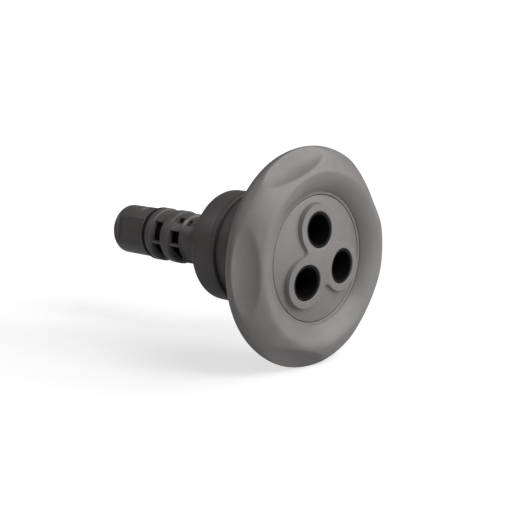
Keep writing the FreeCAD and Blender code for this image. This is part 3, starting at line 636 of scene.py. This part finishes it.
def build_wear_ring(material):
    outline = rounded([(LAND_FRONT_X + SEAT_GAP, GROOVE_FLOOR_RADIUS + SEAT_GAP),
                       (NECK_BACK_X - SEAT_GAP, GROOVE_FLOOR_RADIUS + SEAT_GAP),
                       (NECK_BACK_X - SEAT_GAP, LAND_RADIUS + WEAR_RING_PROUD, 0.5),
                       (LAND_FRONT_X + SEAT_GAP, LAND_RADIUS + WEAR_RING_PROUD, 0.5)], 6)
    ring = spun(outline, 256)
    cutters = bmesh.new()
    middle = (LAND_FRONT_X + NECK_BACK_X) / 2
    add_block(cutters, -2 * WEAR_RING_WIDTH, 2 * WEAR_RING_WIDTH, GROOVE_FLOOR_RADIUS - 2,
              LAND_RADIUS + 2, WEAR_RING_GAP, 0)
    slant = (Matrix.Rotation(math.radians(90), 4, "X") @ Matrix.Translation((middle * MM, 0, 0))
             @ Matrix.Rotation(math.radians(45), 4, "Y"))
    bmesh.ops.transform(cutters, matrix=slant, verts=cutters.verts)
    ring = carved(ring, cutters, 0.1)
    return finish_piece("wear_ring_moulding", ring, "wear_ring", material)


# Stem and inlet tip

def build_stem(material):
    edge = STEM_EDGE_ROUND
    outline = rounded([
        (SPIGOT_END_X, STEM_BORE, 0.3), (FRONT_CAGE_FRONT_X, STEM_BORE),
        (FRONT_CAGE_FRONT_X - STEM_CHAMBER_TAPER, STEM_CHAMBER_RADIUS),
        (THROAT_SEAT_X, STEM_CHAMBER_RADIUS),
        (THROAT_SEAT_X, TIP_SEAT_RADIUS), (STEM_END_X, TIP_SEAT_RADIUS, 0.2),
        (STEM_END_X, REAR_RING_RADIUS, edge), (REAR_RING_FRONT_X, REAR_RING_RADIUS, edge),
        (REAR_RING_FRONT_X, REAR_CAGE_RADIUS), (REAR_CAGE_FRONT_X, REAR_CAGE_RADIUS),
        (REAR_CAGE_FRONT_X, MIDDLE_RING_RADIUS, edge),
        (MIDDLE_RING_FRONT_X, MIDDLE_RING_RADIUS, edge),
        (MIDDLE_RING_FRONT_X, FRONT_CAGE_RADIUS),
        (FRONT_CAGE_FRONT_X - edge, FRONT_CAGE_RADIUS, 0.3),
        (FRONT_CAGE_FRONT_X, STEM_NECK_RADIUS), (SOCKET_BACK_X, STEM_NECK_RADIUS, 0.25),
        (SOCKET_BACK_X, SPIGOT_RADIUS), (SPIGOT_END_X, SPIGOT_RADIUS, 0.3)], 4)
    body = spun(outline, 192)
    cutters = bmesh.new()
    spans = [(REAR_CAGE_FRONT_X, REAR_CAGE_LENGTH, REAR_WINDOWS),
             (FRONT_CAGE_FRONT_X, FRONT_CAGE_LENGTH, FRONT_WINDOWS)]
    for front, length, windows in spans:
        for start, end in windows:
            for half_turn in (0, 180):
                add_wedge(cutters, front - length + WINDOW_MARGIN, front - WINDOW_MARGIN,
                          STEM_BORE - CUT_INSET, REAR_RING_RADIUS + CUT_OVERRUN,
                          start + half_turn, end + half_turn)
    back = MIDDLE_RING_FRONT_X + SLOT_SETBACK
    for length in (REAR_SLOT_LENGTH, FRONT_SLOT_LENGTH):
        for half_turn in (0, 180):
            add_block(cutters, back, back + length, STEM_BORE - CUT_INSET,
                      REAR_RING_RADIUS + CUT_OVERRUN, SLOT_WIDTH, SLOT_ANGLE + half_turn)
        back += length + SLOT_POST
    mesh = carved(body, cutters, 0.14)
    return finish_piece("stem_moulding", mesh, "stem", material)


def build_inlet_tip(material):
    spigot = TIP_SEAT_RADIUS - SEAT_GAP
    outline = rounded([(TIP_END_X, TIP_BORE, 0.3), (TIP_END_X, TIP_RADIUS, 0.5),
                       (TIP_FRONT_X, TIP_RADIUS, 0.5), (TIP_FRONT_X, spigot),
                       (TIP_SPIGOT_X, spigot, 0.25), (TIP_SPIGOT_X, TIP_BORE, 0.2)], 5)
    body = spun(outline, 192)
    cutters = bmesh.new()
    for half_turn in (0, 180):
        add_block(cutters, TIP_END_X + TIP_END_LENGTH, TIP_FRONT_X - TIP_FRONT_BAND,
                  TIP_RADIUS - TIP_FLAT_DEPTH, TIP_RADIUS + CUT_OVERRUN, 2 * TIP_RADIUS,
                  TIP_FLAT_ANGLE + half_turn)
        front = TIP_FRONT_X - TIP_NOTCH_OFFSET
        middle = TIP_NOTCH_ANGLE + half_turn
        add_wedge(cutters, front - TIP_NOTCH_LENGTH, front, TIP_BORE - CUT_INSET,
                  TIP_RADIUS + CUT_OVERRUN, middle - TIP_NOTCH_SPAN / 2,
                  middle + TIP_NOTCH_SPAN / 2)
    mesh = carved(body, cutters, 0.16)
    return finish_piece("inlet_tip_moulding", mesh, "inlet_tip", material)


# Materials

def link(tree, source, target):
    tree.links.new(source, target)


def moulded_group():
    """Colour, roughness and normal of a moulded surface with fine grain, cloudy tone and scuffs."""
    group = bpy.data.node_groups.new("moulded surface", "ShaderNodeTree")
    face = group.interface
    for name, kind in (("Tone", "NodeSocketColor"), ("Light tone", "NodeSocketColor"),
                       ("Roughness", "NodeSocketFloat"), ("Grain size", "NodeSocketFloat"),
                       ("Grain height", "NodeSocketFloat")):
        face.new_socket(name=name, in_out="INPUT", socket_type=kind)
    for name, kind in (("Colour", "NodeSocketColor"), ("Roughness", "NodeSocketFloat"),
                       ("Normal", "NodeSocketVector")):
        face.new_socket(name=name, in_out="OUTPUT", socket_type=kind)
    nodes = group.nodes
    given = nodes.new("NodeGroupInput")
    made = nodes.new("NodeGroupOutput")
    place = nodes.new("ShaderNodeTexCoord")
    cloud = nodes.new("ShaderNodeTexNoise")
    cloud.inputs["Scale"].default_value = 70
    cloud.inputs["Detail"].default_value = 4
    grain = nodes.new("ShaderNodeTexNoise")
    grain.inputs["Detail"].default_value = 3
    grain.inputs["Roughness"].default_value = 0.6
    pits = nodes.new("ShaderNodeTexVoronoi")
    link(group, place.outputs["Object"], cloud.inputs["Vector"])
    link(group, place.outputs["Object"], grain.inputs["Vector"])
    link(group, place.outputs["Object"], pits.inputs["Vector"])
    link(group, given.outputs["Grain size"], grain.inputs["Scale"])
    link(group, given.outputs["Grain size"], pits.inputs["Scale"])
    blend = nodes.new("ShaderNodeMath")
    blend.operation = "MULTIPLY_ADD"
    link(group, grain.outputs["Fac"], blend.inputs[0])
    blend.inputs[1].default_value = 0.55
    tone_share = nodes.new("ShaderNodeMath")
    tone_share.operation = "MULTIPLY"
    link(group, cloud.outputs["Fac"], tone_share.inputs[0])
    tone_share.inputs[1].default_value = 0.45
    link(group, tone_share.outputs[0], blend.inputs[2])
    spread = nodes.new("ShaderNodeMapRange")
    spread.inputs["From Min"].default_value = 0.32
    spread.inputs["From Max"].default_value = 0.68
    link(group, blend.outputs[0], spread.inputs["Value"])
    wear = nodes.new("ShaderNodeNewGeometry")
    edge = nodes.new("ShaderNodeMapRange")
    edge.inputs["From Min"].default_value = 0.5
    edge.inputs["From Max"].default_value = 0.62
    edge.inputs["To Max"].default_value = 0.5
    link(group, wear.outputs["Pointiness"], edge.inputs["Value"])
    total = nodes.new("ShaderNodeMath")
    total.operation = "ADD"
    total.use_clamp = True
    link(group, spread.outputs[0], total.inputs[0])
    link(group, edge.outputs[0], total.inputs[1])
    colour = nodes.new("ShaderNodeMix")
    colour.data_type = "RGBA"
    link(group, total.outputs[0], colour.inputs["Factor"])
    link(group, given.outputs["Tone"], colour.inputs[6])
    link(group, given.outputs["Light tone"], colour.inputs[7])
    link(group, colour.outputs[2], made.inputs["Colour"])
    rough = nodes.new("ShaderNodeMath")
    rough.operation = "MULTIPLY_ADD"
    link(group, grain.outputs["Fac"], rough.inputs[0])
    rough.inputs[1].default_value = 0.16
    link(group, given.outputs["Roughness"], rough.inputs[2])
    link(group, rough.outputs[0], made.inputs["Roughness"])
    relief = nodes.new("ShaderNodeMath")
    relief.operation = "ADD"
    link(group, grain.outputs["Fac"], relief.inputs[0])
    link(group, pits.outputs["Distance"], relief.inputs[1])
    bump = nodes.new("ShaderNodeBump")
    bump.inputs["Strength"].default_value = 1.0
    link(group, given.outputs["Grain height"], bump.inputs["Distance"])
    link(group, relief.outputs[0], bump.inputs["Height"])
    link(group, bump.outputs[0], made.inputs["Normal"])
    return group


def moulded(name, group, tone, light_tone, roughness, grain_size, grain_height, specular=0.5):
    """Plastic whose surface comes from the moulded group. Grain sizes are per metre, heights in
    metres."""
    material = bpy.data.materials.new(name)
    material.use_nodes = True
    tree = material.node_tree
    shader = tree.nodes["Principled BSDF"]
    shader.inputs["Specular IOR Level"].default_value = specular
    surface = tree.nodes.new("ShaderNodeGroup")
    surface.node_tree = group
    surface.inputs["Tone"].default_value = (*tone, 1)
    surface.inputs["Light tone"].default_value = (*light_tone, 1)
    surface.inputs["Roughness"].default_value = roughness
    surface.inputs["Grain size"].default_value = grain_size
    surface.inputs["Grain height"].default_value = grain_height
    link(tree, surface.outputs["Colour"], shader.inputs["Base Color"])
    link(tree, surface.outputs["Roughness"], shader.inputs["Roughness"])
    link(tree, surface.outputs["Normal"], shader.inputs["Normal"])
    return material


def metal(name, colour, roughness, grain_size):
    """Polished or brushed steel with fine streaks in its roughness."""
    material = bpy.data.materials.new(name)
    material.use_nodes = True
    tree = material.node_tree
    shader = tree.nodes["Principled BSDF"]
    shader.inputs["Metallic"].default_value = 1.0
    place = tree.nodes.new("ShaderNodeTexCoord")
    streak = tree.nodes.new("ShaderNodeTexNoise")
    streak.inputs["Scale"].default_value = grain_size
    link(tree, place.outputs["Object"], streak.inputs["Vector"])
    shade = tree.nodes.new("ShaderNodeMapRange")
    shade.inputs["To Min"].default_value = roughness
    shade.inputs["To Max"].default_value = roughness + 0.2
    link(tree, streak.outputs["Fac"], shade.inputs["Value"])
    link(tree, shade.outputs[0], shader.inputs["Roughness"])
    tint = tree.nodes.new("ShaderNodeValToRGB")
    tint.color_ramp.elements[0].color = (*[value * 0.85 for value in colour], 1)
    tint.color_ramp.elements[1].color = (*colour, 1)
    link(tree, streak.outputs["Fac"], tint.inputs["Fac"])
    link(tree, tint.outputs["Color"], shader.inputs["Base Color"])
    return material


def dress(nodes, material):
    """Give CAD nodes that stay visible their material."""
    for node in nodes:
        for made in bpy.data.objects:
            if made.name == node and made.type == "MESH":
                made.data.materials.clear()
                made.data.materials.append(material)


# Studio

def build_camera():
    data = bpy.data.cameras.new("camera")
    data.lens = CAMERA_LENS
    data.sensor_width = 36
    data.clip_start = 0.01
    camera = bpy.data.objects.new("camera", data)
    bpy.context.scene.collection.objects.link(camera)
    camera.location = Vector(CAMERA_PLACE) * MM
    look = Vector(CAMERA_TARGET) * MM - camera.location
    camera.rotation_euler = look.to_track_quat("-Z", "Y").to_euler()
    bpy.context.scene.camera = camera


def add_light(name, place, size, power):
    """Square softbox that looks at the jet."""
    data = bpy.data.lights.new(name, "AREA")
    data.shape = "SQUARE"
    data.size = size
    data.energy = power
    lamp = bpy.data.objects.new(name, data)
    bpy.context.scene.collection.objects.link(lamp)
    lamp.location = place
    look = Vector(LIGHT_TARGET) - lamp.location
    lamp.rotation_euler = look.to_track_quat("-Z", "Y").to_euler()


def build_studio():
    build_camera()
    for name, place, size, power in LIGHTS:
        add_light(name, place, size, power)
    world = bpy.data.worlds.new("studio")
    bpy.context.scene.world = world
    world.use_nodes = True
    tree = world.node_tree
    tree.nodes.clear()
    ambient = tree.nodes.new("ShaderNodeBackground")
    ambient.inputs["Color"].default_value = (1, 1, 1, 1)
    ambient.inputs["Strength"].default_value = AMBIENT
    white = tree.nodes.new("ShaderNodeBackground")
    white.inputs["Color"].default_value = (1, 1, 1, 1)
    white.inputs["Strength"].default_value = 1.0
    rays = tree.nodes.new("ShaderNodeLightPath")
    mix = tree.nodes.new("ShaderNodeMixShader")
    output = tree.nodes.new("ShaderNodeOutputWorld")
    link(tree, rays.outputs["Is Camera Ray"], mix.inputs[0])
    link(tree, ambient.outputs[0], mix.inputs[1])
    link(tree, white.outputs[0], mix.inputs[2])
    link(tree, mix.outputs[0], output.inputs[0])
    mesh = bmesh.new()
    bmesh.ops.create_grid(mesh, x_segments=1, y_segments=1, size=3.0)
    bmesh.ops.translate(mesh, verts=mesh.verts, vec=(0, 0, -RING_RADIUS * MM))
    floor = loose_object("floor", mesh)
    floor.data.materials.append(paper())


def paper():
    """White studio paper that fades into the white background away from the object."""
    material = bpy.data.materials.new("white paper")
    material.use_nodes = True
    tree = material.node_tree
    shader = tree.nodes["Principled BSDF"]
    shader.inputs["Base Color"].default_value = (0.55, 0.55, 0.55, 1)
    shader.inputs["Roughness"].default_value = 0.9
    shader.inputs["Specular IOR Level"].default_value = 0.1
    place = tree.nodes.new("ShaderNodeTexCoord")
    away = tree.nodes.new("ShaderNodeVectorMath")
    away.operation = "LENGTH"
    link(tree, place.outputs["Object"], away.inputs[0])
    fade = tree.nodes.new("ShaderNodeMapRange")
    fade.interpolation_type = "SMOOTHSTEP"
    fade.inputs["From Min"].default_value = 0.06
    fade.inputs["From Max"].default_value = 0.45
    fade.inputs["To Min"].default_value = 0.65
    fade.inputs["To Max"].default_value = 1.0
    link(tree, away.outputs["Value"], fade.inputs["Value"])
    rays = tree.nodes.new("ShaderNodeLightPath")
    seen = tree.nodes.new("ShaderNodeMath")
    seen.operation = "MULTIPLY"
    link(tree, fade.outputs[0], seen.inputs[0])
    link(tree, rays.outputs["Is Camera Ray"], seen.inputs[1])
    shader.inputs["Emission Color"].default_value = (1, 1, 1, 1)
    link(tree, seen.outputs[0], shader.inputs["Emission Strength"])
    return material


def main():
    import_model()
    scene = bpy.context.scene
    scene.view_settings.view_transform = "Standard"
    build_studio()
    group = moulded_group()
    grey = moulded("grey moulding", group, (0.195, 0.183, 0.182), (0.27, 0.254, 0.252), 0.33, 2800,
                   0.00002)
    dark = moulded("dark drum moulding", group, (0.085, 0.08, 0.078), (0.125, 0.118, 0.114), 0.3,
                   1300, 0.00003)
    stem_dark = moulded("dark stem moulding", group, (0.095, 0.089, 0.087), (0.145, 0.137, 0.133),
                        0.25, 1300, 0.00003)
    # Near-black, low-sheen moulding for the nozzle rotor and throat. It is partly their own black
    # plastic and partly painted shade: it is made darker and duller than the plastic so the deep
    # ports and stem windows read as shadow.
    black = moulded("black moulding with painted port shade", group, (0.006, 0.006, 0.006), (0.01, 0.01, 0.01), 0.42, 1300,
                    0.00002, 0.12)
    wear = moulded("wear ring moulding", group, (0.07, 0.066, 0.064), (0.1, 0.095, 0.092), 0.32,
                   1500, 0.00003)
    pale = moulded("pale bearing moulding", group, (0.62, 0.61, 0.58), (0.7, 0.69, 0.66), 0.3, 900,
                   0.00001)
    rubber = moulded("black rubber", group, (0.004, 0.004, 0.004), (0.008, 0.008, 0.008), 0.6, 1800,
                     0.00004, 0.3)
    ball_steel = metal("polished ball steel", (0.75, 0.75, 0.76), 0.06, 800)
    clip_steel = metal("brushed clip steel", (0.55, 0.55, 0.56), 0.3, 2500)
    build_face_ring(grey)
    build_nozzle_cap(grey)
    build_drum(dark)
    build_wear_ring(wear)
    build_stem(stem_dark)
    build_inlet_tip(stem_dark)
    # Painted shade: the near-black rotor and throat stand in for the shade deep inside the ports
    # and the stem's windows.
    dress(["nozzle_rotor", "throat"], black)
    dress(["bearing_retainer", "stem_lock_ring"], dark)
    dress(["bearing_outer_race", "bearing_inner_race", "bearing_cage", "front_thrust_washer",
           "rear_thrust_washer"], pale)
    dress(["bearing_balls"], ball_steel)
    dress(["spindle_clip"], clip_steel)
    dress(["spigot_o_ring", "stem_o_ring"], rubber)


main()
